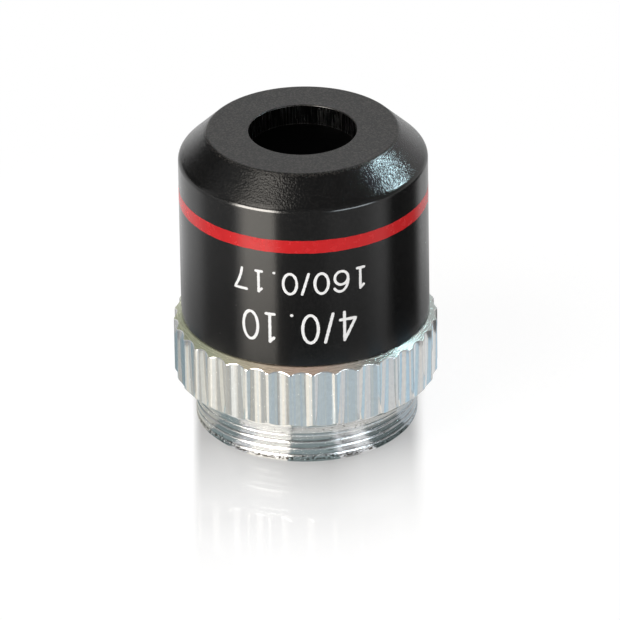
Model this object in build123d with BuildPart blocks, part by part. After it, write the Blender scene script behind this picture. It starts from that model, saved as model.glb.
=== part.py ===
from build123d import *

import os
from math import pi, sqrt

# Low-power achromatic microscope objective, standing on its mounting thread. Z is the optical axis.
# z = 0 is the shoulder that seats on the nosepiece. The thread hangs below it, and the front face,
# which looks at the specimen, is at the top. Sizes are millimetres.

# Mounting thread, the 0.8 inch objective thread with 36 turns to the inch
thread_diameter = 20.2
thread_length = 4.6  # shoulder to the rear end
thread_end_chamfer = 0.4
thread_wall = 1.9  # metal between the thread and the rear bore
rear_bore_chamfer = 0.3

# Relief behind the thread, so that the shoulder seats flat
relief_depth = 0.45  # neck below the thread's crest
relief_width = 0.7
seat_clearance = 0.25  # seat starts this far outside the thread
seat_recess = 0.15

# Grip ring with axial flutes
shoulder_width = 1.9  # grip beyond the thread
grip_height = 5.95
grip_top_bevel = 0.5
grip_bottom_bevel = 0.35
flute_count = 36
flute_depth = 0.28
flute_land = 0.12  # flat ridge left between two flutes
flute_start = 7.8  # degrees from +X to the first flute

# Spigot that the sleeve screws onto
spigot_height = 5.0
spigot_chamfer = 0.3
thread_fit = 0.04  # radial clearance of the inner screw threads

# Black sleeve with its bevelled nose
grip_step = 0.7  # grip beyond the sleeve
front_height = 24.25  # shoulder to front face
skirt_wall = 1.1  # sleeve wall round the spigot
skirt_end_gap = 0.3
barrel_wall = 2.1  # sleeve wall above the spigot
nose_bevel_width = 2.65
nose_bevel_height = 2.55
nose_opening = 9.8
nose_wall = 1.95  # thickness of the front wall
nose_rim_radius = 0.3  # rounding between front face and bevel
nose_base_radius = 0.7  # rounding between bevel and side
sleeve_foot_chamfer = 0.15

# Painted colour band in a shallow groove
band_below_front = 5.46
band_width = 1.23
band_depth = 0.15

# Cemented doublet: biconvex crown towards the eyepiece, flat-faced flint towards the specimen
lens_diameter = 10.0
lens_seat_height = 5.8  # seat of the crown above the shoulder
crown_rear_radius = 13.25
cement_radius = 18.2
crown_edge = 1.0  # rim thickness of the crown
flint_centre = 1.5  # axial thickness of the flint

# Lens cell
lens_fit = 0.03  # radial clearance of the lens in its bore
cell_wall = 1.4
lens_seat_width = 1.0  # ledge that the crown's rim sits on
cell_lip = 0.8  # thickness of the lip under the lens
cell_rim = 0.3  # cell above the retaining ring
cell_slot_width = 1.4
cell_slot_depth = 0.8

# Aperture stop, retaining ring and lock ring
stop_bore = 7.1  # lets in light up to 5.7 degrees from the axis
stop_thickness = 0.4
stop_edge_bevel = 0.25
ring_thread_step = 0.3  # retaining thread outside the lens bore
ring_thread_runout = 0.2
ring_height = 1.2
ring_wall = 1.1
ring_slot_width = 1.0
ring_slot_depth = 0.5
lock_ring_height = 1.3
lock_ring_wall = 1.9
lock_slot_width = 1.4
lock_slot_depth = 0.6
mount_thread_runout = 0.8  # inner thread below the lock ring


def sag(radius, height):
    """Depth of a spherical surface at a height above the axis."""
    return radius - sqrt(radius**2 - height**2)


# Radii worked out from the sizes above, from the thread outwards and from the lens outwards
thread_r = thread_diameter / 2
rear_bore_r = thread_r - thread_wall
relief_r = thread_r - relief_depth
seat_r = thread_r + seat_clearance
grip_r = thread_r + shoulder_width
sleeve_r = grip_r - grip_step
skirt_bore_r = sleeve_r - skirt_wall
spigot_r = skirt_bore_r - thread_fit
chamber_r = sleeve_r - barrel_wall
band_r = sleeve_r - band_depth
nose_face_r = sleeve_r - nose_bevel_width
nose_opening_r = nose_opening / 2
lens_r = lens_diameter / 2
lens_bore_r = lens_r + lens_fit
ring_bore_r = lens_bore_r + ring_thread_step
ring_r = ring_bore_r - thread_fit
cell_r = lens_bore_r + cell_wall
cell_lip_r = lens_bore_r - lens_seat_width
mount_bore_r = cell_r + thread_fit
lock_ring_bore_r = cell_r - lock_ring_wall
stop_r = stop_bore / 2

# A flute is an arc as wide as the pitch less the land
flute_width = 2 * pi * grip_r / flute_count - flute_land
flute_r = (flute_width**2 / 4 + flute_depth**2) / (2 * flute_depth)
flute_centre_r = grip_r - flute_depth + flute_r

# Heights, from the shoulder and then up through the lens stack
rear_z = -thread_length
spigot_top = grip_height + spigot_height
ceiling_z = front_height - nose_wall
band_top = front_height - band_below_front
band_bottom = band_top - band_width
crown_rear_z = lens_seat_height - sag(crown_rear_radius, cell_lip_r)
crown_rear_edge_z = crown_rear_z + sag(crown_rear_radius, lens_r)
cement_edge_z = crown_rear_edge_z + crown_edge
cement_z = cement_edge_z + sag(cement_radius, lens_r)
flint_front_z = cement_z + flint_centre
ring_z = flint_front_z + stop_thickness
ring_thread_z = ring_z - ring_thread_runout
cell_top = ring_z + ring_height + cell_rim
cell_bottom = lens_seat_height - cell_lip
skirt_top = max(spigot_top, cell_top) + skirt_end_gap
lock_ring_bottom = cell_bottom - lock_ring_height
mount_bore_z = lock_ring_bottom - mount_thread_runout

# Thread mount: one turned piece with the mounting thread, the grip ring and the spigot
with BuildPart() as thread_mount:
    with BuildSketch(Plane.XZ):
        with BuildLine():
            Polyline(
                (rear_bore_r + rear_bore_chamfer, rear_z),
                (rear_bore_r, rear_z + rear_bore_chamfer),
                (rear_bore_r, mount_bore_z),
                (mount_bore_r, mount_bore_z),
                (mount_bore_r, spigot_top),
                (spigot_r - spigot_chamfer, spigot_top),
                (spigot_r, spigot_top - spigot_chamfer),
                (spigot_r, grip_height),
                (sleeve_r, grip_height),
                (grip_r, grip_height - grip_top_bevel),
                (grip_r, grip_bottom_bevel),
                (grip_r - grip_bottom_bevel, 0),
                (seat_r, 0),
                (seat_r, seat_recess),
                (relief_r, seat_recess),
                (relief_r, -relief_width),
                (thread_r, -relief_width - relief_depth),
                (thread_r, rear_z + thread_end_chamfer),
                (thread_r - thread_end_chamfer, rear_z),
                close=True,
            )
        make_face()
    revolve(axis=Axis.Z)
    with BuildSketch(Plane.XY):
        with PolarLocations(flute_centre_r, flute_count, start_angle=flute_start):
            Circle(flute_r)
    extrude(amount=grip_height, mode=Mode.SUBTRACT)

# Nose sleeve: hollow black barrel with a bevelled nose, an open front and a groove for the band
with BuildPart() as nose_sleeve:
    with BuildSketch(Plane.XZ) as sleeve_profile:
        with BuildLine():
            Polyline(
                (skirt_bore_r, grip_height),
                (skirt_bore_r, skirt_top),
                (chamber_r, skirt_top),
                (chamber_r, ceiling_z),
                (nose_opening_r, ceiling_z),
                (nose_opening_r, front_height),
                (nose_face_r, front_height),
                (sleeve_r, front_height - nose_bevel_height),
                (sleeve_r, band_top),
                (band_r, band_top),
                (band_r, band_bottom),
                (sleeve_r, band_bottom),
                (sleeve_r, grip_height + sleeve_foot_chamfer),
                (sleeve_r - sleeve_foot_chamfer, grip_height),
                close=True,
            )
        make_face()
        bevel_base = sleeve_profile.vertices().group_by(Axis.X)[-1].sort_by(Axis.Y)[-1]
        fillet(bevel_base, radius=nose_base_radius)
        bevel_rim = sleeve_profile.vertices().group_by(Axis.Y)[-1].sort_by(Axis.X)[-1]
        fillet(bevel_rim, radius=nose_rim_radius)
    revolve(axis=Axis.Z)

# Colour band: enamel that fills the groove flush with the sleeve
with BuildPart() as colour_band:
    with BuildSketch(Plane.XY.offset(band_bottom)):
        Circle(sleeve_r)
        Circle(band_r, mode=Mode.SUBTRACT)
    extrude(amount=band_width)

# Lens cell: screws into the mount and carries the doublet on its lip
with BuildPart() as lens_cell:
    with BuildSketch(Plane.XZ):
        with BuildLine():
            Polyline(
                (cell_lip_r, cell_bottom),
                (cell_lip_r, lens_seat_height),
                (lens_bore_r, lens_seat_height),
                (lens_bore_r, ring_thread_z),
                (ring_bore_r, ring_thread_z),
                (ring_bore_r, cell_top),
                (cell_r, cell_top),
                (cell_r, cell_bottom),
                close=True,
            )
        make_face()
    revolve(axis=Axis.Z)
    with BuildSketch(Plane.XY.offset(cell_top)):
        Rectangle(2 * cell_r, cell_slot_width)
    extrude(amount=-cell_slot_depth, mode=Mode.SUBTRACT)

# Crown lens: biconvex
with BuildPart() as crown_lens:
    with BuildSketch(Plane.XZ):
        with BuildLine():
            rear_mid_z = crown_rear_z + sag(crown_rear_radius, lens_r / 2)
            cement_mid_z = cement_z - sag(cement_radius, lens_r / 2)
            ThreePointArc((0, crown_rear_z), (lens_r / 2, rear_mid_z), (lens_r, crown_rear_edge_z))
            Line((lens_r, crown_rear_edge_z), (lens_r, cement_edge_z))
            ThreePointArc((lens_r, cement_edge_z), (lens_r / 2, cement_mid_z), (0, cement_z))
            Line((0, cement_z), (0, crown_rear_z))
        make_face()
    revolve(axis=Axis.Z)

# Flint lens: hollowed to the crown's curve, with a flat front
with BuildPart() as flint_lens:
    with BuildSketch(Plane.XZ):
        with BuildLine():
            ThreePointArc((0, cement_z), (lens_r / 2, cement_mid_z), (lens_r, cement_edge_z))
            Polyline((lens_r, cement_edge_z), (lens_r, flint_front_z), (0, flint_front_z), (0, cement_z))
        make_face()
    revolve(axis=Axis.Z)

# Aperture stop: thin washer on the flint, bevelled to a sharp inner edge
with BuildPart() as aperture_stop:
    with BuildSketch(Plane.XZ):
        with BuildLine():
            Polyline(
                (stop_r, flint_front_z),
                (lens_r, flint_front_z),
                (lens_r, ring_z),
                (stop_r + stop_edge_bevel, ring_z),
                (stop_r, ring_z - stop_edge_bevel),
                close=True,
            )
        make_face()
    revolve(axis=Axis.Z)

# Lens retaining ring: clamps stop and doublet, with two spanner slots
with BuildPart() as lens_retaining_ring:
    with BuildSketch(Plane.XY.offset(ring_z)):
        Circle(ring_r)
        Circle(ring_r - ring_wall, mode=Mode.SUBTRACT)
    extrude(amount=ring_height)
    with BuildSketch(Plane.XY.offset(ring_z + ring_height)):
        Rectangle(2 * ring_r, ring_slot_width)
    extrude(amount=-ring_slot_depth, mode=Mode.SUBTRACT)

# Parfocal lock ring: jams the cell from behind, with two spanner slots
with BuildPart() as parfocal_lock_ring:
    with BuildSketch(Plane.XY.offset(lock_ring_bottom)):
        Circle(cell_r)
        Circle(lock_ring_bore_r, mode=Mode.SUBTRACT)
    extrude(amount=lock_ring_height)
    with BuildSketch(Plane.XY.offset(lock_ring_bottom)):
        Rectangle(2 * cell_r, lock_slot_width)
    extrude(amount=lock_slot_depth, mode=Mode.SUBTRACT)

pieces = {
    "thread_mount": thread_mount,
    "nose_sleeve": nose_sleeve,
    "colour_band": colour_band,
    "lens_cell": lens_cell,
    "crown_lens": crown_lens,
    "flint_lens": flint_lens,
    "aperture_stop": aperture_stop,
    "lens_retaining_ring": lens_retaining_ring,
    "parfocal_lock_ring": parfocal_lock_ring,
}

os.makedirs("parts", exist_ok=True)
for name, piece in pieces.items():
    piece.part.label = name
    export_step(piece.part, f"parts/{name}.step")
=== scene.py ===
import itertools
from math import acos, cos, pi, radians, sin, sqrt, tan, tau

import bpy
import numpy as np
from mathutils import Euler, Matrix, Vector


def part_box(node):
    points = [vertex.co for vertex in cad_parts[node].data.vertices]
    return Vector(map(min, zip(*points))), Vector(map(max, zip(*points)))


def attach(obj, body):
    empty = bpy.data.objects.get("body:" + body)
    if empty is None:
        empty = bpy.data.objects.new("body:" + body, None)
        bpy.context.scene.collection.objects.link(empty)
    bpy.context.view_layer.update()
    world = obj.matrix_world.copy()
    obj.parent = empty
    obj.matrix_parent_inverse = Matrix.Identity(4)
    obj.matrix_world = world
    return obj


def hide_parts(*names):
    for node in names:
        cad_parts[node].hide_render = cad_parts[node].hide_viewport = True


# Low-power microscope objective, standing on its mounting thread on a glossy white table.
# Z is the optical axis and z = 0 the shoulder. Sizes are metres, written in millimetres times MM.
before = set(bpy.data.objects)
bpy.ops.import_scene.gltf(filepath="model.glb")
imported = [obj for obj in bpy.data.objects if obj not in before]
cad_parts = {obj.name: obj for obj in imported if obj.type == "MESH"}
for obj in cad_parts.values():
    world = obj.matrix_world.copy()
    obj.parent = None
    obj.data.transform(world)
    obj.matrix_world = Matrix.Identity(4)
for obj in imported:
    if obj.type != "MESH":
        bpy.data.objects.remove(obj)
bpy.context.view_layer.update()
MM = 0.001
rng = np.random.default_rng(7)

# Places read from the frame
rear_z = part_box("thread_mount")[0].z
spigot_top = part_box("thread_mount")[1].z
sleeve_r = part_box("nose_sleeve")[1].x
grip_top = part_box("nose_sleeve")[0].z
front_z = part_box("nose_sleeve")[1].z
band_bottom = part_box("colour_band")[0].z
band_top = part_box("colour_band")[1].z
cell_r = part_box("lens_cell")[1].x
cell_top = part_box("lens_cell")[1].z
lock_ring_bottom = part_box("parfocal_lock_ring")[0].z

screw_clearance = 0.04 * MM  # between the screwed pieces, whose inner threads are plain cylinders

# Mounting thread, 36 turns to the inch
thread_r = 10.1 * MM
thread_pitch = 25.4 / 36 * MM
thread_depth = 0.45 * MM
groove_depth = 0.06 * MM
groove_share = 0.5  # of the pitch, and the rest is the worn crest
thread_end_chamfer = 0.4 * MM
thread_rows_per_turn = 20
relief_width = 0.7 * MM
relief_slope = 4.0
thread_start = 1.5 * MM
seat_r = thread_r + 0.25 * MM
seat_recess = 0.15 * MM
rear_bore_r = thread_r - 1.9 * MM
rear_bore_chamfer = 0.3 * MM
mount_bore_r = cell_r + screw_clearance
mount_bore_z = lock_ring_bottom - 0.8 * MM
relief_r = thread_r - thread_depth

# Grip ring
grip_r = sleeve_r + 0.7 * MM
grip_top_bevel = 0.5 * MM
grip_bottom_bevel = 0.35 * MM
edge_round = 0.04 * MM
flute_count = 36
flute_start = radians(7.8)
flute_depth = 0.28 * MM
flute_land = 0.12 * MM
flute_columns = 16
flute_chatter = 0.002 * MM

# Sleeve
skirt_bore_r = sleeve_r - 1.1 * MM
spigot_r = skirt_bore_r - screw_clearance
spigot_chamfer = 0.3 * MM
skirt_top = max(spigot_top, cell_top) + 0.3 * MM
chamber_r = sleeve_r - 2.1 * MM
band_r = sleeve_r - 0.15 * MM
nose_face_r = sleeve_r - 2.65 * MM
nose_bevel_z = front_z - 2.55 * MM
nose_opening_r = 4.9 * MM
ceiling_z = front_z - 1.95 * MM
nose_rim_round = 0.3 * MM
nose_base_round = 0.7 * MM
opening_round = 0.1 * MM
ceiling_round = 0.06 * MM
foot_chamfer = 0.15 * MM
foot_round = 0.08 * MM
sleeve_columns = 256


# Mesh helpers

crease_angle = radians(30)


def piece(name, points, faces, materials, face_materials, slot, *nodes):
    """A mesh piece that rides on the body, with creases only at real edges."""
    mesh = bpy.data.meshes.new(name)
    mesh.from_pydata(points, [], faces)
    for material in materials:
        mesh.materials.append(material)
    mesh.polygons.foreach_set("material_index", np.asarray(face_materials, np.int32))
    mesh.polygons.foreach_set("use_smooth", np.ones(len(mesh.polygons), bool))
    mesh.set_sharp_from_angle(angle=crease_angle)
    mesh.update()
    made = bpy.data.objects.new(name, mesh)
    bpy.context.scene.collection.objects.link(made)
    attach(made, "root")
    if nodes:
        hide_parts(*nodes)


def ring_piece(name, rows, angles, materials, slot, *nodes):
    """A closed ring from (radius, height, material) rows that run up its inside and down its outside."""
    count, columns = len(rows), len(angles)
    radius = np.array([np.broadcast_to(row[0], columns) for row in rows])
    height = np.array([np.broadcast_to(row[1], columns) for row in rows])
    points = np.stack([radius * np.cos(angles), radius * np.sin(angles), height], -1).reshape(-1, 3)
    first, column = np.arange(count)[:, None] * columns, np.arange(columns)[None, :]
    below, beside = np.roll(first, -1, 0), np.roll(column, -1, 1)
    corners = [first + column, below + column, below + beside, first + beside]
    faces = np.stack(np.broadcast_arrays(*corners), -1).reshape(-1, 4)
    face_materials = np.repeat([row[2] for row in rows], columns)
    piece(name, points.tolist(), faces.tolist(), materials, face_materials, slot, *nodes)


def rounded(outline, steps=5, beyond=1.15):
    """A closed outline of (radius, height, rounding, material) corners, with each rounding as an arc.
    A row a little beyond each end of an arc keeps the flat beside it shaded flat."""
    corners = [Vector(corner[:2]) for corner in outline]
    rows = []
    for i, (_, _, rounding, material) in enumerate(outline):
        corner, before, after = corners[i], corners[i - 1], corners[(i + 1) % len(corners)]
        if not rounding:
            rows.append((*corner, material))
            continue
        to_before, to_after = (before - corner).normalized(), (after - corner).normalized()
        half = to_before.angle(to_after) / 2
        reach = rounding / tan(half)
        centre = corner + (to_before + to_after).normalized() * (rounding / sin(half))
        start, end = corner + to_before * reach - centre, corner + to_after * reach - centre
        turn = start.angle(end)
        rows.append((*(corner + to_before * (beyond * reach)), outline[i - 1][3]))
        for step in range(steps + 1):
            t = step / steps
            spoke = (start * sin((1 - t) * turn) + end * sin(t * turn)) / sin(turn)
            rows.append((*(centre + spoke), material))
        rows.append((*(corner + to_after * (beyond * reach)), material))
    return rows


# Materials


class Nodes:
    """A node tree, with short ways to add nodes and join them."""

    def __init__(self, tree):
        self.tree = tree

    def node(self, kind, settings=None, **inputs):
        made = self.tree.nodes.new(kind)
        for key, value in (settings or {}).items():
            setattr(made, key, value)
        for key, value in inputs.items():
            self.put(made.inputs[key.replace("_", " ")], value)
        return made

    def put(self, socket, value):
        if isinstance(value, bpy.types.NodeSocket):
            self.tree.links.new(value, socket)
        else:
            socket.default_value = value

    def math(self, operation, *values):
        made = self.node("ShaderNodeMath", {"operation": operation})
        for socket, value in zip(made.inputs, values):
            self.put(socket, value)
        return made.outputs[0]

    def product(self, first, *others):
        for other in others:
            first = self.math("MULTIPLY", first, other)
        return first

    def length(self, x, y):
        return self.math("SQRT", self.math("ADD", self.product(x, x), self.product(y, y)))

    def ramp(self, value, low, high, to_low=0.0, to_high=1.0, kind="LINEAR"):
        """A value mapped from low..high onto to_low..to_high."""
        made = self.node("ShaderNodeMapRange", {"interpolation_type": kind}, Value=value)
        for socket, limit in zip(("From Min", "From Max", "To Min", "To Max"), (low, high, to_low, to_high)):
            self.put(made.inputs[socket], limit)
        return made.outputs["Result"]


class Shader(Nodes):
    """A material's nodes, with patterns that are sized in metres on the object."""

    def __init__(self, name, **uniform):
        self.material = bpy.data.materials.new(name)
        self.material.use_nodes = True
        super().__init__(self.material.node_tree)
        self.surface = self.tree.nodes["Principled BSDF"]
        for socket, value in uniform.items():
            self.surface.inputs[socket.replace("_", " ")].default_value = value
        self.place = self.node("ShaderNodeTexCoord").outputs["Object"]

    def noise(self, size, detail=2.0, stretch=(1, 1, 1)):
        """Noise whose features are about that size, stretched along the axes."""
        scaled = self.node("ShaderNodeMapping", Vector=self.place)
        scaled.inputs["Scale"].default_value = [1 / (size * s) for s in stretch]
        made = self.node("ShaderNodeTexNoise", Vector=scaled.outputs[0], Scale=1.0, Detail=detail)
        return made.outputs["Fac"]

    def specks(self, spacing, size, share):
        """A mask of small round specks, about that far apart, in a share of the cells."""
        cells = self.node("ShaderNodeTexVoronoi", Vector=self.place, Scale=1 / spacing)
        spot = self.ramp(cells.outputs["Distance"], size / spacing, 0.6 * size / spacing)
        lot = self.node("ShaderNodeSeparateColor", Color=cells.outputs["Color"]).outputs[0]
        return self.product(spot, self.math("LESS_THAN", lot, share))

    def mix(self, factor, first, second):
        made = self.node("ShaderNodeMix", {"data_type": "RGBA"})
        for socket, value in zip((made.inputs[0], made.inputs[6], made.inputs[7]), (factor, first, second)):
            self.put(socket, value)
        return made.outputs[2]

    def xyz(self):
        return self.node("ShaderNodeSeparateXYZ", Vector=self.place).outputs

    def axis_distance(self):
        x, y, _ = self.xyz()
        return self.length(x, y)

    def bump(self, height, depth):
        bump = self.node("ShaderNodeBump", Height=height, Strength=1.0, Distance=depth)
        self.put(self.surface.inputs["Normal"], bump.outputs["Normal"])

    def set(self, socket, value):
        self.put(self.surface.inputs[socket], value)

    def emission(self, colour, strength):
        return self.node("ShaderNodeEmission", Color=(*colour, 1), Strength=strength).outputs[0]

    def blend(self, factor, first, second):
        """A mix of two shaders, given as sockets or kinds of node, which also becomes the surface."""
        mixed = self.node("ShaderNodeMixShader")
        for socket, value in zip(mixed.inputs, (factor, first, second)):
            self.put(socket, self.node(value).outputs[0] if isinstance(value, str) else value)
        self.put(self.tree.nodes["Material Output"].inputs["Surface"], mixed.outputs[0])
        return mixed.outputs[0]


def grey(level, warmth=0.0):
    """A grey, warmer above zero and cooler below it."""
    return (level * (1 + warmth), level, level * (1 - warmth), 1.0)


def black_enamel():
    """Satin black paint with a little dust: smooth on the side, with an orange peel on the bevel and a matt,
    grainy front face."""
    paint = Shader("black_enamel", IOR=1.5)
    height = paint.xyz()[2]
    peel = paint.noise(0.15 * MM, detail=1.0)
    grain = paint.noise(0.16 * MM, detail=1.0)
    on_bevel = paint.ramp(height, nose_bevel_z + 0.1 * MM, nose_bevel_z + 0.4 * MM, 0.08, 1.0)
    on_face = paint.ramp(height, front_z - 0.3 * MM, front_z - 0.1 * MM)
    dust = paint.specks(1.3 * MM, 0.045 * MM, 0.35)
    light = paint.mix(on_face, grey(0.007, 0.04), grey(0.036, 0.1))
    black = paint.mix(paint.ramp(grain, 0.47, 0.63), grey(0.001), light)
    paint.set("Base Color", paint.mix(paint.product(dust, 0.5), black, grey(0.2, 0.05)))
    matt = paint.ramp(height, front_z - 0.25 * MM, front_z - 0.05 * MM, 0.16, 0.32)
    paint.set("Roughness", paint.math("ADD", matt, paint.ramp(peel, 0.3, 0.7, -0.03, 0.03)))
    paint.bump(paint.product(peel, on_bevel, paint.ramp(on_face, 0.0, 1.0, 1.0, 0.25)), 0.034 * MM)
    return paint.material


def bore_black():
    """Glossier black inside the front opening, with faint streaks along the axis, a little dust and a lower
    edge that is lighter in patches."""
    paint = Shader("bore_black", IOR=1.4)
    streak = paint.noise(0.2 * MM, stretch=(1, 1, 14))
    dust = paint.specks(0.5 * MM, 0.035 * MM, 0.3)
    # The lower edge is painted lighter in patches
    edge = paint.ramp(paint.xyz()[2], ceiling_z + 0.14 * MM, ceiling_z + 0.05 * MM)
    edge_marks = paint.product(edge, paint.ramp(paint.noise(0.4 * MM, detail=3.0), 0.4, 0.65, 0.1, 0.8))
    black = paint.mix(paint.ramp(streak, 0.4, 0.75), grey(0.001), grey(0.007))
    paint.set("Base Color", paint.mix(dust, paint.mix(edge_marks, black, grey(0.05, 0.03)), grey(0.25, 0.05)))
    paint.set("Roughness", paint.ramp(streak, 0.35, 0.65, 0.12, 0.34))
    paint.bump(streak, 0.004 * MM)
    return paint.material


def matt_black():
    """Anti-reflection black with fine turning marks."""
    paint = Shader("matt_black", IOR=1.3)
    marks = paint.noise(0.12 * MM, stretch=(40, 40, 1))
    paint.set("Base Color", paint.mix(marks, grey(0.004), grey(0.008)))
    paint.set("Roughness", paint.ramp(marks, 0.3, 0.7, 0.65, 0.85))
    paint.bump(marks, 0.004 * MM)
    return paint.material


def red_enamel():
    """Red filling, a little uneven."""
    paint = Shader("red_enamel", IOR=1.4)
    blotch = paint.noise(0.6 * MM, detail=3.0)
    paint.set("Base Color", paint.mix(blotch, (0.52, 0.006, 0.008, 1), (0.64, 0.011, 0.014, 1)))
    paint.set("Roughness", paint.ramp(blotch, 0.3, 0.7, 0.2, 0.3))
    paint.bump(paint.noise(0.12 * MM), 0.003 * MM)
    return paint.material


def white_enamel():
    """White paint of the numbers, slightly chalky."""
    paint = Shader("white_enamel", IOR=1.4)
    chalk = paint.noise(0.1 * MM, detail=3.0)
    paint.set("Base Color", paint.mix(chalk, grey(0.8, 0.01), grey(0.92, 0.01)))
    paint.set("Roughness", paint.ramp(chalk, 0.3, 0.7, 0.45, 0.65))
    paint.bump(chalk, 0.004 * MM)
    return paint.material


def plated_flutes():
    """Satin plating of the grip, drawn along the flutes."""
    metal = Shader("plated_flutes", Metallic=0.8, IOR=1.5)
    drawn = metal.noise(0.05 * MM, detail=3.0, stretch=(1, 1, 30))
    mottle = metal.noise(0.35 * MM, detail=3.0)
    streaks = metal.ramp(metal.noise(0.3 * MM, stretch=(1, 1, 80)), 0.42, 0.58)
    plate = metal.mix(streaks, (0.67, 0.7, 0.72, 1), (0.74, 0.73, 0.7, 1))
    metal.set("Base Color", metal.mix(metal.ramp(mottle, 0.3, 0.7, 0.25, 0.0), plate, grey(0.5)))
    metal.set("Roughness", metal.ramp(drawn, 0.3, 0.7, 0.05, 0.12))
    metal.bump(metal.math("ADD", drawn, mottle), 0.0008 * MM)
    return metal.material


def plated_bevel():
    """Turned and plated bevel above the flutes. Its colour is painted reflection across it: olive, then
    warm, and cool at the right, where it is also more metallic, to catch a brighter glint."""
    metal = Shader("plated_bevel")
    marks = metal.noise(0.05 * MM, detail=3.0, stretch=(40, 40, 1))
    x = metal.xyz()[0]
    # Painted reflection: the tint changes from olive to warm to cool across the bevel
    left = metal.mix(metal.ramp(x, -9 * MM, -1 * MM), (0.5, 0.53, 0.38, 1), (0.66, 0.5, 0.4, 1))
    metal.set("Base Color", metal.mix(metal.ramp(x, 1 * MM, 7 * MM), left, (0.5, 0.55, 0.53, 1)))
    # More metallic at the right, to catch a brighter glint there
    metal.set("Metallic", metal.ramp(x, 3.5 * MM, 6.5 * MM, 0.45, 1.0))
    metal.set("Roughness", metal.ramp(marks, 0.3, 0.7, 0.2, 0.34))
    metal.bump(marks, 0.002 * MM)
    return metal.material


def plated_thread():
    """Bright crests with turning marks, darker in patches in the roots, and dirt in specks along the rear
    edge.
    """
    metal = Shader("plated_thread", Metallic=1.0)
    marks = metal.noise(0.1 * MM, detail=2.0, stretch=(300, 300, 1))
    patches = metal.noise(1.6 * MM, detail=3.0)
    grains = metal.noise(0.12 * MM, detail=2.0, stretch=(2.2, 2.2, 1))
    # The roots are darker, in patches
    root = metal.ramp(metal.axis_distance(), thread_r - groove_depth, thread_r, 0.6, 0.0)
    height = metal.xyz()[2]
    edge_marks = metal.ramp(height, rear_z + 1.1 * MM, rear_z + 0.5 * MM, 0.0, 0.165)
    lip = metal.ramp(height, rear_z + 0.4 * MM, rear_z + 0.3 * MM, 1.0, 0.4)
    specks = metal.ramp(metal.math("ADD", grains, metal.product(edge_marks, lip)), 0.64, 0.72)
    dirt = metal.math("ADD", metal.product(root, metal.ramp(patches, 0.35, 0.62, 0.1, 1.0)), specks)
    clean = metal.mix(metal.ramp(marks, 0.35, 0.65), grey(0.48, -0.03), grey(0.7, -0.02))
    metal.set("Base Color", metal.mix(dirt, clean, grey(0.1, 0.12)))
    metal.set("Roughness", metal.ramp(marks, 0.3, 0.7, 0.14, 0.26))
    metal.bump(marks, 0.0015 * MM)
    return metal.material


def blackened_brass():
    """Chemically blackened brass with turning marks."""
    metal = Shader("blackened_brass_parts", Metallic=0.4)
    marks = metal.noise(0.1 * MM, stretch=(30, 30, 1))
    metal.set("Base Color", metal.mix(marks, grey(0.012, 0.04), grey(0.03, 0.08)))
    metal.set("Roughness", metal.ramp(marks, 0.3, 0.7, 0.4, 0.6))
    metal.bump(marks, 0.003 * MM)
    return metal.material


def coated_glass(name, index, tint):
    """Polished glass with a thin coating and the faintest haze of dust."""
    glass = Shader(name, IOR=index, Transmission_Weight=1.0, Thin_Film_Thickness=140.0, Thin_Film_IOR=1.38)
    haze = glass.specks(0.9 * MM, 0.04 * MM, 0.3)
    glass.set("Base Color", tint)
    glass.set("Roughness", glass.ramp(haze, 0.0, 1.0, 0.01, 0.3))
    return glass.material


# Mount: thread, grip ring and spigot in one turned piece


def flute_profile():
    """Column angles and radii, spread over each flute and with its two edges on the land."""
    width = tau * grip_r / flute_count - flute_land
    arc_r = (width**2 / 4 + flute_depth**2) / (2 * flute_depth)
    centre_r = grip_r - flute_depth + arc_r
    edge = acos((grip_r**2 + centre_r**2 - arc_r**2) / (2 * grip_r * centre_r))
    across = np.linspace(-edge, edge, flute_columns)
    radius = centre_r * np.cos(across) - np.sqrt(arc_r**2 - (centre_r * np.sin(across)) ** 2)
    centres = flute_start + np.arange(flute_count) * tau / flute_count
    share = np.linspace(0, 1, flute_columns)[None, :]
    waves = rng.uniform(1.5, 3.0, (flute_count, 1)) * share + rng.uniform(0, 1, (flute_count, 1))
    uneven = flute_chatter * np.sin(pi * share) * np.sin(tau * waves)
    return (centres[:, None] + across[None, :]).ravel(), (radius[None, :] + uneven).ravel()


def thread_radius(angles, z):
    """Radius of the right-hand thread at a height, cut down by the relief and the end chamfer."""
    turns = z / thread_pitch - angles / tau
    from_groove = np.abs(turns - np.round(turns)) * 2 / groove_share
    groove = groove_depth * np.cos(pi / 2 * np.minimum(from_groove, 1)) ** 2
    groove *= np.clip((-thread_start - z) / (thread_pitch / 2), 0, 1)
    from_relief = relief_r + relief_slope * max(0.0, -relief_width - z)
    from_end = thread_r - thread_end_chamfer + (z - rear_z)
    return np.minimum(thread_r - groove, min(from_relief, from_end))


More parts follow.
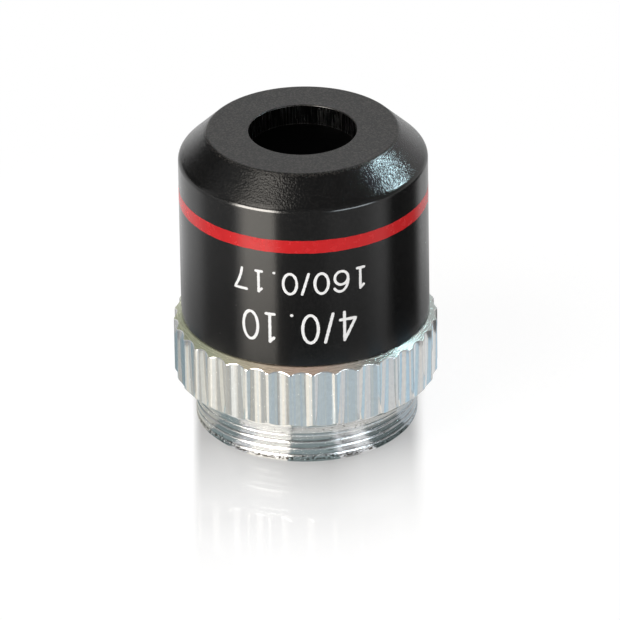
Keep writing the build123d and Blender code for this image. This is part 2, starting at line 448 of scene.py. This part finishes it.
def mount_piece():
    inside, bevel, plated, thread = range(4)
    angles, flute_r = flute_profile()
    slope = Vector((grip_r - sleeve_r, -grip_top_bevel)).normalized() * edge_round
    bevel_z = grip_top - (flute_r - sleeve_r) * grip_top_bevel / (grip_r - sleeve_r)
    foot_z = grip_bottom_bevel - (grip_r - flute_r)
    rows = [
        (rear_bore_r + rear_bore_chamfer, rear_z, plated),
        (rear_bore_r, rear_z + rear_bore_chamfer, inside),
        (rear_bore_r, mount_bore_z, inside),
        (mount_bore_r, mount_bore_z, inside),
        (mount_bore_r, spigot_top, inside),
        (spigot_r - spigot_chamfer, spigot_top, plated),
        (spigot_r, spigot_top - spigot_chamfer, plated),
        (spigot_r, grip_top, bevel),
        (sleeve_r, grip_top, bevel),
        (flute_r - 2 * slope.x, bevel_z - 2 * slope.y, bevel),
        (flute_r - slope.x, bevel_z - slope.y, plated),
        (flute_r, bevel_z - edge_round, plated),
        (flute_r, bevel_z - 2 * edge_round, plated),
        (flute_r, foot_z + 2 * edge_round, plated),
        (flute_r, foot_z + edge_round, plated),
        (flute_r - edge_round * sqrt(0.5), foot_z - edge_round * sqrt(0.5), plated),
        (grip_r - grip_bottom_bevel, 0, plated),
        (seat_r, 0, plated),
        (seat_r, seat_recess, plated),
        (relief_r, seat_recess, plated),
    ]
    turns = (-relief_width - rear_z) / thread_pitch
    for z in np.linspace(-relief_width, rear_z, int(turns * thread_rows_per_turn)):
        rows.append((thread_radius(angles, z), z, thread if z > rear_z else plated))
    materials = [matt_black(), plated_bevel(), plated_flutes(), plated_thread()]
    ring_piece("mount", rows, angles, materials, "plated_metal", "thread_mount")


# Sleeve and its colour band


def sleeve_piece():
    paint, bore, inside = range(3)
    outline = [
        (skirt_bore_r, grip_top, 0, inside),
        (skirt_bore_r, skirt_top, 0, inside),
        (chamber_r, skirt_top, 0, inside),
        (chamber_r, ceiling_z, 0, inside),
        (nose_opening_r, ceiling_z, ceiling_round, bore),
        (nose_opening_r, front_z, opening_round, paint),
        (nose_face_r, front_z, nose_rim_round, paint),
        (sleeve_r, nose_bevel_z, nose_base_round, paint),
        (sleeve_r, band_top, 0, paint),
        (band_r, band_top, 0, paint),
        (band_r, band_bottom, 0, paint),
        (sleeve_r, band_bottom, 0, paint),
        (sleeve_r, grip_top + foot_chamfer, foot_round, paint),
        (sleeve_r - foot_chamfer, grip_top, 0, paint),
    ]
    angles = np.arange(sleeve_columns) * tau / sleeve_columns
    materials = [black_enamel(), bore_black(), matt_black()]
    ring_piece("sleeve", rounded(outline), angles, materials, "black_enamel", "nose_sleeve")


def ragged(angles, height, waves):
    """A painted edge's small waves round the barrel."""
    phases = rng.uniform(0, tau, len(waves))
    return sum(height / len(waves) * np.sin(n * angles + p) for n, p in zip(waves, phases))


def band_piece():
    proud, spill, wander = 0.005 * MM, 0.02 * MM, 0.03 * MM
    angles = np.arange(2 * sleeve_columns) * tau / (2 * sleeve_columns)
    low = band_bottom - spill + ragged(angles, wander, (5, 13, 31, 67))
    high = band_top + spill + ragged(angles, wander, (7, 17, 29, 73))
    rows = [
        (band_r, band_bottom, 0),
        (band_r, band_top, 0),
        (sleeve_r - proud, high, 0),
        (sleeve_r + proud, high - proud, 0),
        (sleeve_r + proud, low + proud, 0),
        (sleeve_r - proud, low, 0),
    ]
    ring_piece("band", rows, angles, [red_enamel()], "red_enamel", "colour_band")


# Plain numbers in white, drawn upside down as on the barrel: they read with the thread upwards


def arc(x, y, across, tall, start, end, steps=24):
    """Points on an ellipse, from one angle to another in degrees."""
    turn = np.radians(np.linspace(start, end, steps))
    return [(x + across * cos(t), y + tall * sin(t)) for t in turn]


# Strokes in a box one wide and one tall, centred on zero
glyphs = {
    "0": [arc(0, 0, 0.5, 0.5, 0, 360, 40)],
    "1": [[(-0.42, 0.36), (0.06, 0.5)], [(0.06, 0.5), (0.06, -0.5)], [(-0.5, -0.5), (0.5, -0.5)]],
    "4": [[(0.24, 0.5), (-0.5, -0.24), (0.5, -0.24)], [(0.24, 0.5), (0.24, -0.5)]],
    "6": [arc(0.1, -0.08, 0.6, 0.58, 46, 180), arc(0, -0.17, 0.5, 0.33, 0, 360, 32)],
    "7": [[(-0.5, 0.5), (0.5, 0.5), (0.16, 0.1), (-0.02, -0.2), (-0.12, -0.5)]],
    "/": [[(0.5, 0.5), (-0.5, -0.5)]],
    ".": [[(-0.05, -0.5), (0.05, -0.5)]],
}

# Each line: height of its middle, digit height, stroke width, and (sign, place along the line, width), where
# place and width are in millimetres
number_lines = [
    (
        14.43 * MM, 2.3 * MM, 0.27 * MM,
        [("1", -5.19, 0.94), ("6", -3.33, 1.52), ("0", -1.5, 1.5), ("/", -0.03, 0.87),
         ("0", 1.36, 1.5), (".", 2.81, 0.4), ("1", 4.24, 0.84), ("7", 6.05, 1.45)],
    ),
    (
        9.84 * MM, 3.1 * MM, 0.3 * MM,
        [("4", -3.91, 1.77), ("/", -2.13, 1.02), ("0", -0.43, 1.71),
         (".", 1.25, 0.36), ("1", 3.23, 1.04), ("0", 5.13, 1.71)],
    ),
]

# A stroke is a low ridge of paint: (share of the half width, height above the barrel)
film = 0.012 * MM
sunk = 0.03 * MM
ridge = [(-1, -sunk), (-0.93, 0.7 * film), (0, film), (0.93, 0.7 * film), (1, -sunk)]
stroke_gap = 0.1 * MM
stroke_wobble = 0.07  # of the half width


def spaced(points, gap):
    """The same line with points no further apart than a gap."""
    made = [np.array(points[0])]
    for start, end in zip(np.array(points[:-1]), np.array(points[1:])):
        count = max(1, int(np.linalg.norm(end - start) / gap))
        made += [start + (end - start) * step / count for step in range(1, count + 1)]
    return np.array(made)


def stroke(line, width):
    """Sections of one stroke: middle, sideways direction and half width, with round ends if it is open."""
    closed = np.allclose(line[0], line[-1])
    line = line[:-1] if closed else line
    ahead = np.roll(line, -1, 0) - np.roll(line, 1, 0)
    if not closed:
        ahead[0], ahead[-1] = line[1] - line[0], line[-1] - line[-2]
    ahead /= np.linalg.norm(ahead, axis=1)[:, None]
    half = np.full(len(line), width / 2) * (1 + stroke_wobble * rng.standard_normal(len(line)))
    if not closed:
        bends = np.radians([15, 40, 65])
        first = [line[0] - ahead[0] * cos(b) * width / 2 for b in bends]
        last = [line[-1] + ahead[-1] * cos(b) * width / 2 for b in bends[::-1]]
        line = np.array([*first, *line, *last])
        ahead = np.array([ahead[0]] * len(bends) + [*ahead] + [ahead[-1]] * len(bends))
        half = np.array([*np.sin(bends) * width / 2, *half, *np.sin(bends[::-1]) * width / 2])
    return line, np.stack([-ahead[:, 1], ahead[:, 0]], -1), half, closed


def add_ridge(points, faces, sections, place, middle_z):
    """Lay one stroke round the barrel, as a ridge that is capped where the stroke is open."""
    line, side, half, closed = sections
    first, count, sides = len(points), len(line), len(ridge)
    for spot, aside, reach in zip(line, side, half):
        for offset, rise in ridge:
            x, y = spot + aside * reach * offset
            turn, r = -(place + x) / sleeve_r, sleeve_r + rise
            points.append((r * sin(turn), -r * cos(turn), middle_z - y))
    for i in range(count if closed else count - 1):
        a, b = first + i * sides, first + (i + 1) % count * sides
        for j in range(sides):
            k = (j + 1) % sides
            faces.append((a + j, a + k, b + k, b + j))
    if not closed:
        faces.append(tuple(first + j for j in reversed(range(sides))))
        faces.append(tuple(first + (count - 1) * sides + j for j in range(sides)))


def numbers_piece():
    points, faces = [], []
    for middle_z, tall, width, signs in number_lines:
        for sign, place, across in signs:
            size = np.array([max(across * MM - width, width / 4), tall - width])
            for line in glyphs[sign]:
                sections = stroke(spaced(np.array(line) * size, stroke_gap), width)
                add_ridge(points, faces, sections, place * MM, middle_z)
    piece("numbers", points, faces, [white_enamel()], np.zeros(len(faces)), None)


# Stage: table, background, light cards and camera

stage_centre = Vector((0, 0, 10 * MM))
card_distance = 0.6
card_layer = 0.01 * MM  # between the cards that lie on the table
card_layers = itertools.count(1)
table_r = 1.5
table_columns = 96
table_glow = 0.88
painted_shade_depth = 0.61
painted_contact_depth = 0.18
table_mirror = 0.11

# Where the table's painted shade and its mirroring start and where they are full. The painted contact shade
# is deepest at contact_x
strip_left = (-10.7 * MM, -9.6 * MM)
strip_right = (11.0 * MM, 9.2 * MM)
strip_lighter = (2 * MM, 5 * MM)
strip_fade = (28 * MM, 5 * MM)
contact_x = 1.5 * MM
contact_fade = (thread_r + 10 * MM, thread_r)
plain_white = (30 * MM, 60 * MM)
mirror_near = (17 * MM, 20 * MM)
mirror_far = (34 * MM, 16 * MM)
mirror_right = (8 * MM, 5 * MM)


def direction(azimuth, elevation):
    """Unit vector seen from the object: azimuth from the front, to the right, in degrees."""
    a, e = radians(azimuth), radians(elevation)
    return Vector((sin(a) * cos(e), -cos(a) * cos(e), sin(e)))


def glowing_sheet(name, point_at, colour, strength, soft, seen_by, clear=0.0):
    """A sheet of light with soft left, right, near and far edges, which the camera doesn't see.
    point_at gives its place from two shares, 0 to 1, and clear is what it lets through."""
    columns, rows = 24, 12
    us, vs = np.linspace(0, 1, columns + 1), np.linspace(0, 1, rows + 1)
    across = columns + 1
    points = [point_at(u, v) for v in vs for u in us]
    corners = [r * across + c for r in range(rows) for c in range(columns)]
    faces = [(i, i + 1, i + across + 1, i + across) for i in corners]
    mesh = bpy.data.meshes.new(name)
    mesh.from_pydata(points, [], faces)
    uv = mesh.uv_layers.new(name="card")
    for loop in mesh.loops:
        uv.data[loop.index].uv = (us[loop.vertex_index % across], vs[loop.vertex_index // across])
    glow = Shader(name)
    u, v, _ = glow.node("ShaderNodeSeparateXYZ", Vector=glow.node("ShaderNodeUVMap").outputs[0]).outputs
    left, right, near, far = soft
    share = 1.0
    for coordinate, outer, inner in ((u, 0, left), (u, 1, 1 - right), (v, 0, near), (v, 1, 1 - far)):
        share = glow.product(share, glow.ramp(coordinate, outer, inner, kind="SMOOTHSTEP"))
    veil = glow.node("ShaderNodeAddShader")
    glow.put(veil.inputs[0], glow.node("ShaderNodeBsdfTransparent", Color=grey(clear)).outputs[0])
    glow.put(veil.inputs[1], glow.emission(colour, strength))
    glow.blend(share, "ShaderNodeBsdfTransparent", veil.outputs[0])
    mesh.materials.append(glow.material)
    made = bpy.data.objects.new(name, mesh)
    made.visible_camera = False
    made.visible_shadow = False
    made.visible_glossy = seen_by != "diffuse"
    made.visible_diffuse = seen_by != "glossy"
    if seen_by == "glossy":
        glow.material.cycles.emission_sampling = "NONE"
    bpy.context.scene.collection.objects.link(made)


def light_card(name, azimuths, elevations, colour, strength, soft, seen_by="glossy"):
    """A light in the room, from one azimuth and elevation to another."""

    def point_at(u, v):
        aim = direction(np.interp(u, (0, 1), azimuths), np.interp(v, (0, 1), elevations))
        return stage_centre + aim * card_distance

    glowing_sheet(name, point_at, colour, strength, soft, seen_by)


def table_card(name, azimuths, radii, colour, strength, clear, soft):
    """A patch of the table as the object mirrors it, from one azimuth and distance to another. It lies
    closer in at the sides, as what they mirror does, and part of the light beyond it shows through."""
    z = rear_z - next(card_layers) * card_layer
    side_azimuth, side_pull, most_pull = 107, 0.15, 0.24

    def point_at(u, v):
        azimuth = np.interp(u, (0, 1), azimuths)
        pull = min(most_pull, side_pull * (azimuth / side_azimuth) ** 2)
        r = np.interp(v, (0, 1), radii) * MM * (1 - pull)
        return direction(azimuth, 0) * r + Vector((0, 0, z))

    glowing_sheet(name, point_at, colour, strength, soft, "glossy", clear)


def table_top():
    """Glossy white that has painted shade and mirrors near the object, in a strip along the camera's line of
    sight, is plain further away, and is clear from below. The painted shade stands in for the object's dark
    reflection and contact shadow."""
    top = Shader("table", Roughness=1.0, Base_Color=grey(0.2), Specular_IOR_Level=0.0)
    x, y, _ = top.xyz()
    along = top.math("ABSOLUTE", y)
    left = top.ramp(x, *strip_left, kind="SMOOTHSTEP")
    right = top.ramp(x, *strip_right, kind="SMOOTHSTEP")
    strip = top.product(left, right, top.ramp(x, *strip_lighter, 1.0, 0.8))

    # The painted shade fades along the strip, and is deepest in front of the thread and a little to the
    # right
    fade = top.math("POWER", top.ramp(along, *strip_fade), 1.7)
    aside = top.product(top.math("SUBTRACT", x, contact_x), 2.0)
    contact = top.ramp(top.length(aside, y), *contact_fade, 0.0, painted_contact_depth)
    painted_shade = top.product(strip, top.math("ADD", contact, top.product(fade, painted_shade_depth)))
    # Painted shade: the table's glow is lowered in the strip, most beside the thread
    top.set("Emission Color", grey(1.0))
    top.set("Emission Strength", top.ramp(painted_shade, 0, 1, table_glow, 0.0))
    shaded = top.surface.outputs[0]
    further = top.ramp(top.axis_distance(), *plain_white)
    plain = top.blend(further, shaded, top.emission((1, 1, 1), 1.0))

    # It mirrors most where the flutes show in it, and less beside the thread, further away and at the right
    flutes = top.product(top.ramp(along, *mirror_near, 0.2, 1.0), top.ramp(along, *mirror_far))
    share = top.product(strip, flutes, top.ramp(x, *mirror_right, 0.2, 1.0), table_mirror)
    mirror = top.node("ShaderNodeBsdfGlossy", Color=grey(0.8), Roughness=0.05).outputs[0]
    glossy = top.blend(share, plain, mirror)
    below = top.node("ShaderNodeNewGeometry").outputs["Backfacing"]
    top.blend(below, glossy, "ShaderNodeBsdfTransparent")
    top.material.cycles.emission_sampling = "NONE"
    return top.material


def table():
    """A disc that reflections don't see, because the table cards stand in for it there."""
    turns = np.arange(table_columns) * tau / table_columns
    points = [(0, 0, rear_z)] + [(table_r * cos(turn), table_r * sin(turn), rear_z) for turn in turns]
    faces = [(0, 1 + i, 1 + (i + 1) % table_columns) for i in range(table_columns)]
    mesh = bpy.data.meshes.new("table")
    mesh.from_pydata(points, [], faces)
    mesh.materials.append(table_top())
    made = bpy.data.objects.new("table", mesh)
    made.visible_glossy = False
    bpy.context.scene.collection.objects.link(made)


def background():
    """Pale studio, dimmer in front and overhead, which metal, glass and camera see alike."""
    world = bpy.data.worlds.new("studio")
    bpy.context.scene.world = world
    world.use_nodes = True
    world.cycles.sampling_method = "NONE"
    studio = Nodes(world.node_tree)
    seen = studio.node("ShaderNodeTexCoord").outputs["Generated"]
    _, back, up = studio.node("ShaderNodeSeparateXYZ", Vector=seen).outputs
    behind = studio.ramp(back, -0.2, 0.4, 0.3, 0.72, "SMOOTHSTEP")
    overhead = studio.ramp(up, 0.45, 0.9, 1.0, 0.6, "SMOOTHSTEP")
    below = studio.ramp(back, -0.9, -0.4, 0.3, 0.9, "SMOOTHSTEP")
    level = studio.ramp(up, -0.05, 0.05, below, studio.product(behind, overhead), "SMOOTHSTEP")
    shade = world.node_tree.nodes["Background"]
    studio.put(shade.inputs["Strength"], level)
    studio.put(shade.inputs["Color"], grey(1.0))


def camera():
    """The photograph's view: long lens, from above and in front, leaning a little."""
    elevation, roll, distance = 27.84, -0.95, 1.0
    frame_pixels, pixels_per_metre, centre_pixel = 620, 11011.0, Vector((304.8, 269.2))
    aside = (frame_pixels / 2 - centre_pixel.x) / (pixels_per_metre * distance)
    down = (frame_pixels / 2 - centre_pixel.y) / (pixels_per_metre * distance)
    data = bpy.data.cameras.new("camera")
    data.sensor_width = 36.0
    data.lens = data.sensor_width * pixels_per_metre * distance / frame_pixels
    made = bpy.data.objects.new("camera", data)
    made.location = stage_centre + direction(0, elevation) * distance
    look = Euler((pi / 2 - radians(elevation), 0, 0)).to_matrix()
    lean = Euler((0, 0, radians(roll))).to_matrix()
    aim = Euler((-down, -aside, 0)).to_matrix()
    made.rotation_euler = (look @ lean @ aim).to_euler()
    data.clip_start, data.clip_end = 0.01, 10.0
    bpy.context.scene.collection.objects.link(made)
    bpy.context.scene.camera = made


# The object, and finishes for the nodes inside it
mount_piece()
sleeve_piece()
band_piece()
numbers_piece()
brass = blackened_brass()
finishes = {
    "lens_cell": brass,
    "aperture_stop": brass,
    "lens_retaining_ring": brass,
    "parfocal_lock_ring": brass,
    "crown_lens": coated_glass("crown_glass_coated", 1.517, (0.93, 0.97, 0.95, 1)),
    "flint_lens": coated_glass("flint_glass_coated", 1.62, (0.97, 0.97, 0.93, 1)),
}
for node, material in finishes.items():
    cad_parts[node].material_slots[0].material = material

warm, cool, neutral = (1.0, 0.95, 0.87), (0.7, 0.95, 1.03), (1.0, 1.0, 1.0)
bluish, pale_blue, olive = (0.77, 0.94, 1.02), (0.9, 1.0, 1.06), (1.0, 0.98, 0.88)
sky, teal, slate = (0.58, 0.8, 0.96), (0.42, 0.68, 0.8), (0.82, 1.0, 1.0)
even = (0.2, 0.2, 0.2, 0.2)

# The room: azimuths, elevations, colour, strength and soft edges. The edge lights show on the nose's lower
# edge, box_right shows on its bevel, and a flag is dark
light_card("key_left", (-78, -28), (36, 64), warm, 3.8, (0.35, 0.1, 0.15, 0.15), "both")
light_card("fill_front", (-78, 36), (5, 60), neutral, 1.6, even, "diffuse")
light_card("box_right", (103, 112), (29, 40), cool, 76.0, even)
light_card("edge_left", (-66, -20), (-8, 28.9), warm, 24.0, even)
light_card("edge_right", (22, 66), (-2, 12), pale_blue, 9.0, even)
light_card("flag_left", (-155, -98), (2, 50), neutral, 0.1, even)

# The room as it shows in the table, which only the object's sides mirror
light_card("key_mirrored", (-67, -26), (-75, -3), warm, 3.6, (0.35, 0.04, 0.1, 0.1))
light_card("right_mirrored", (12, 77), (-75, -3), neutral, 0.52, (0.3, 0.4, 0.1, 0.1))
light_card("flag_mirrored", (74, 140), (-75, -3), neutral, 0.07, (0.25, 0.3, 0.1, 0.1))
light_card("back_mirrored", (136, 200), (-75, -3), neutral, 0.66, (0.3, 0.3, 0.1, 0.1))
light_card("left_mirrored", (-118, -64), (-75, -3), neutral, 0.42, (0.4, 0.1, 0.1, 0.1))

# The table close in, as the thread, its plain neck and the grip ring mirror it: start, end, colour,
# strength and what it lets through
thread_zones = [
    (-180, -68, olive, 0.68, 0.0),
    (-68, -47, slate, 0.36, 0.0),
    (-47, -35, neutral, 0.8, 0.0),
    (-35, -11, warm, 1.4, 0.0),
    (-11, 18, slate, 0.38, 0.0),
    (18, 21, neutral, 1.05, 0.0),
    (21, 29, neutral, 0.5, 0.0),
    (29, 40, neutral, 1.0, 0.0),
    (40, 70, slate, 0.19, 0.0),
    (70, 180, pale_blue, 0.58, 0.0),
]
neck_zones = [(-180, -52, slate, 0.6, 0.0), (-52, -12, warm, 1.6, 0.0), (-12, 180, warm, 1.1, 0.0)]
ring_zones = [
    (-180, -95, teal, 0.4, 0.05),
    (-95, -84, olive, 0.45, 0.2),
    (-84, -66, olive, 0.85, 0.05),
    (-66, -40, olive, 0.5, 0.33),
    (-40, -13, olive, 0.46, 0.4),
    (-13, 33, bluish, 0.58, 0.36),
    (33, 50, neutral, 0.8, 0.05),
    (50, 62, sky, 0.95, 0.05),
    (62, 78, neutral, 0.84, 0.05),
    (78, 95, sky, 0.95, 0.05),
    (95, 115, neutral, 0.95, 0.05),
    (115, 180, sky, 0.95, 0.05),
]
zone_edges = (0.02, 0.02, 0.02, 0.05)
for name, zones, radii in (
    ("thread", thread_zones, (9, 15.8)),
    ("neck", neck_zones, (15.8, 17.8)),
    ("ring", ring_zones, (17.8, 32.4)),
):
    for number, (start, end, colour, strength, clear) in enumerate(zones):
        table_card(f"{name}_{number}", (start, end), radii, colour, strength, clear, zone_edges)

# A dark sheet is painted shade round the object: it dims what the object mirrors beyond those zones
table_card("shade", (-180, 180), (10, 58), neutral, 0.0, 0.55, (0.001, 0.001, 0.001, 0.5))
table()
background()
camera()
bpy.context.scene.view_settings.view_transform = "Standard"
